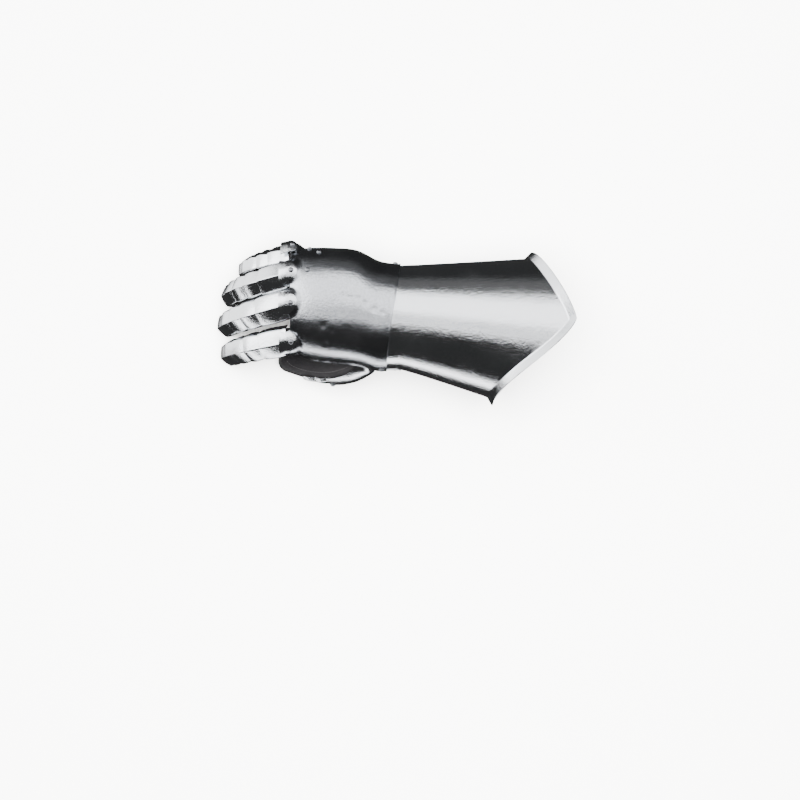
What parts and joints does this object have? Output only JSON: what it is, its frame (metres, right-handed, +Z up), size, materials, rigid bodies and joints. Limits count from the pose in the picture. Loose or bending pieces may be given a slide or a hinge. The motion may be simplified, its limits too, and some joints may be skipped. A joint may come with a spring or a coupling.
{
  "type": "armoured gauntlet",
  "caption": "Right-hand armoured gauntlet of polished steel plate with a flared, pointed cuff, lapped finger lames and a black leather glove, lying palm down.",
  "frame": {"origin": "the middle of the bounding box, on the surface that the gauntlet lies on", "axes": "+X runs from the fingertips to the cuff, +Y to the little finger, +Z up"},
  "size_m": [0.3592, 0.1654, 0.1437],
  "materials": {
    "polished_steel": "mirror polished sheet steel with fine satin brush marks",
    "rivet_steel": "domed steel rivets, slightly duller",
    "glove_leather": "soft black glove leather"
  },
  "bodies": {
    "root": {"cuff": "polished_steel", "hand_plate": "polished_steel", "index_knuckle_plate": "polished_steel", "index_lame_1": "polished_steel", "index_lame_2": "polished_steel", "index_lame_3": "polished_steel", "index_lame_4": "polished_steel", "index_tip": "polished_steel", "middle_knuckle_plate": "polished_steel", "middle_lame_1": "polished_steel", "middle_lame_2": "polished_steel", "middle_lame_3": "polished_steel", "middle_lame_4": "polished_steel", "middle_tip": "polished_steel", "ring_knuckle_plate": "polished_steel", "ring_lame_1": "polished_steel", "ring_lame_2": "polished_steel", "ring_lame_3": "polished_steel", "ring_lame_4": "polished_steel", "ring_tip": "polished_steel", "little_knuckle_plate": "polished_steel", "little_lame_1": "polished_steel", "little_lame_2": "polished_steel", "little_lame_3": "polished_steel", "little_lame_4": "polished_steel", "little_tip": "polished_steel", "thumb_base_plate": "polished_steel", "thumb_lame_1": "polished_steel", "thumb_lame_2": "polished_steel", "glove": "glove_leather", "index_rivet": "rivet_steel", "middle_rivet": "rivet_steel", "ring_rivet": "rivet_steel", "little_rivet": "rivet_steel", "ring_rear_rivet": "rivet_steel", "little_rear_rivet_1": "rivet_steel", "little_rear_rivet_2": "rivet_steel", "wrist_rivet_little_side": "rivet_steel", "wrist_rivet_thumb_side": "rivet_steel", "thumb_tab_rivet": "rivet_steel", "thumb_rivet_1": "rivet_steel", "thumb_rivet_2": "rivet_steel"}
  },
  "joints": []
}
